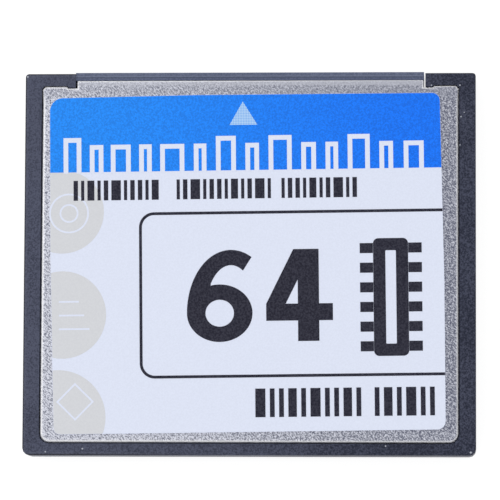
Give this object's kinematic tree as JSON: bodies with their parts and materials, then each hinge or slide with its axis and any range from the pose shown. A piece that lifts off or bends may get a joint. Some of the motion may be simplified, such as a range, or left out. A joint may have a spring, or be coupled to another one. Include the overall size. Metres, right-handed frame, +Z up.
{
  "type": "compact flash card",
  "caption": "Flat memory card with a moulded frame, pressed steel covers, a two-row socket connector along one edge and a printed label on top.",
  "frame": {"origin": "middle of the card's underside, on the surface that it lies on", "axes": "+X to the right as the label is read, +Y towards the sockets, +Z up out of the label"},
  "size_m": [0.0428, 0.0364, 0.0033],
  "materials": {
    "frame": "fine moulded texture, dark blue-grey",
    "connector_housing": "smooth moulded, blue-grey",
    "cover": "stainless steel with a coarse etched grain",
    "label": "satin printed film, white with a blue band",
    "contact": "gold plated",
    "board": "green solder resist",
    "chip": "black moulded",
    "can": "plain metal can"
  },
  "bodies": {
    "root": {"frame": "frame", "top_cover": "cover", "bottom_cover": "cover", "label": "label", "connector_housing": "connector_housing", "circuit_board": "board", "controller_chip": "chip", "flash_chip_1": "chip", "flash_chip_2": "chip", "crystal": "can", "contact_01": "contact", "contact_02": "contact", "contact_03": "contact", "contact_04": "contact", "contact_05": "contact", "contact_06": "contact", "contact_07": "contact", "contact_08": "contact", "contact_09": "contact", "contact_10": "contact", "contact_11": "contact", "contact_12": "contact", "contact_13": "contact", "contact_14": "contact", "contact_15": "contact", "contact_16": "contact", "contact_17": "contact", "contact_18": "contact", "contact_19": "contact", "contact_20": "contact", "contact_21": "contact", "contact_22": "contact", "contact_23": "contact", "contact_24": "contact", "contact_25": "contact", "contact_26": "contact", "contact_27": "contact", "contact_28": "contact", "contact_29": "contact", "contact_30": "contact", "contact_31": "contact", "contact_32": "contact", "contact_33": "contact", "contact_34": "contact", "contact_35": "contact", "contact_36": "contact", "contact_37": "contact", "contact_38": "contact", "contact_39": "contact", "contact_40": "contact", "contact_41": "contact", "contact_42": "contact", "contact_43": "contact", "contact_44": "contact", "contact_45": "contact", "contact_46": "contact", "contact_47": "contact", "contact_48": "contact", "contact_49": "contact", "contact_50": "contact"}
  },
  "joints": []
}
